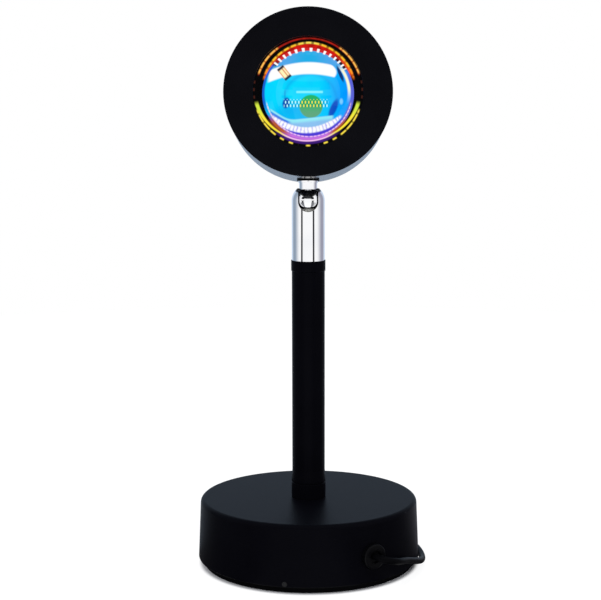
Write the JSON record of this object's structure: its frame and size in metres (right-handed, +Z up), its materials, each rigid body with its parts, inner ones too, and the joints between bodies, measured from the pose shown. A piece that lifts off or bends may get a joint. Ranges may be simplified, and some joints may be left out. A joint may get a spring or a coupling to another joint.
{
  "type": "sunset projection lamp",
  "caption": "Table projection lamp: weighted round base, slim pole, plated ball swivel, drum head with a domed colour lens, and a USB lead with a switch.",
  "frame": {"origin": "centre of the base's underside, on the surface that the lamp stands on", "axes": "+Z up along the pole, -Y the way the lens looks, +X to the right of someone facing the lens"},
  "size_m": [0.1064, 0.1757, 0.2485],
  "materials": {
    "stand_paint": "gloss",
    "head_paint": "satin",
    "chrome_plate": "gloss",
    "tube_black": "satin",
    "lens_glass": "gloss",
    "dichroic_film": "gloss",
    "reflector_silver": "gloss",
    "led_phosphor": "satin",
    "board_white": "satin",
    "sink_aluminium": "satin",
    "zinc_steel": "satin",
    "spring_steel": "gloss",
    "black_screws": "satin",
    "weight_iron": "rough",
    "foot_foam": "matte",
    "gland_plastic": "satin",
    "washer_plastic": "satin",
    "seat_nylon": "satin",
    "cord_jacket": "satin",
    "tie_strap": "satin",
    "switch_plastic": "satin",
    "button_plastic": "gloss",
    "usb_nickel": "satin",
    "usb_tongue_plastic": "satin",
    "contact_gold": "gloss"
  },
  "bodies": {
    "base": {"base_cover": "stand_paint", "bottom_plate": "zinc_steel", "foot_pad": "foot_foam", "counterweight": "weight_iron", "counterweight_screws": "zinc_steel", "side_screws": "black_screws", "cable_gland": "gland_plastic", "gland_clip": "zinc_steel", "base_nut": "zinc_steel", "lock_washer": "zinc_steel", "lower_rod": "zinc_steel", "foot_collar": "stand_paint", "pole_tube": "stand_paint", "pole_foot_insert": "sink_aluminium", "pole_top_cap": "stand_paint", "upper_rod": "zinc_steel", "swivel_barrel": "chrome_plate", "friction_seat": "seat_nylon", "disc_springs": "spring_steel", "stand_lead": "cord_jacket", "cord_lead": "cord_jacket", "cord_middle": "cord_jacket", "cord_tail": "cord_jacket", "cord_coil": "cord_jacket", "cord_ties": "tie_strap", "switch_bottom_shell": "switch_plastic", "switch_top_shell": "switch_plastic", "switch_module": "button_plastic", "switch_screws": "black_screws", "button_spring": "spring_steel", "usb_overmould": "switch_plastic", "usb_shell": "usb_nickel", "usb_tongue": "usb_tongue_plastic", "usb_contacts": "contact_gold"},
    "pivot": {"pivot_ball": "chrome_plate", "neck_tube": "chrome_plate", "neck_ring": "chrome_plate", "neck_nut": "zinc_steel"},
    "head": {"neck_washer": "washer_plastic", "head_saddle": "zinc_steel", "head_shell": "head_paint", "rear_cover": "head_paint", "rear_cover_screws": "black_screws", "lens_tube": "tube_black", "lens": "lens_glass", "colour_film": "dichroic_film", "lens_retainer": "sink_aluminium", "reflector": "reflector_silver", "led_chip": "led_phosphor", "led_board": "board_white", "board_screws": "zinc_steel", "heat_sink": "sink_aluminium", "heat_sink_screws": "zinc_steel", "head_lead": "cord_jacket"},
    "button": {"switch_button": "button_plastic"}
  },
  "joints": [
    {"name": "head_tilt", "type": "hinge", "parent": "base", "child": "pivot", "pos_m": [0, 0, 0.1643], "axis": [1, 0, 0], "range_deg": [-2.5, 97]},
    {"name": "head_turn", "type": "hinge", "parent": "pivot", "child": "head", "pos_m": [0, 0, 0.1643], "axis": [0, 0.1219, 0.9925], "range_deg": [-170, 170]},
    {"name": "button_press", "type": "slide", "parent": "base", "child": "button", "axis": [0, 0, -1], "range_m": [0, 0.0012], "stiffness_N_per_m": 400, "deforming": ["button_spring"]}
  ]
}
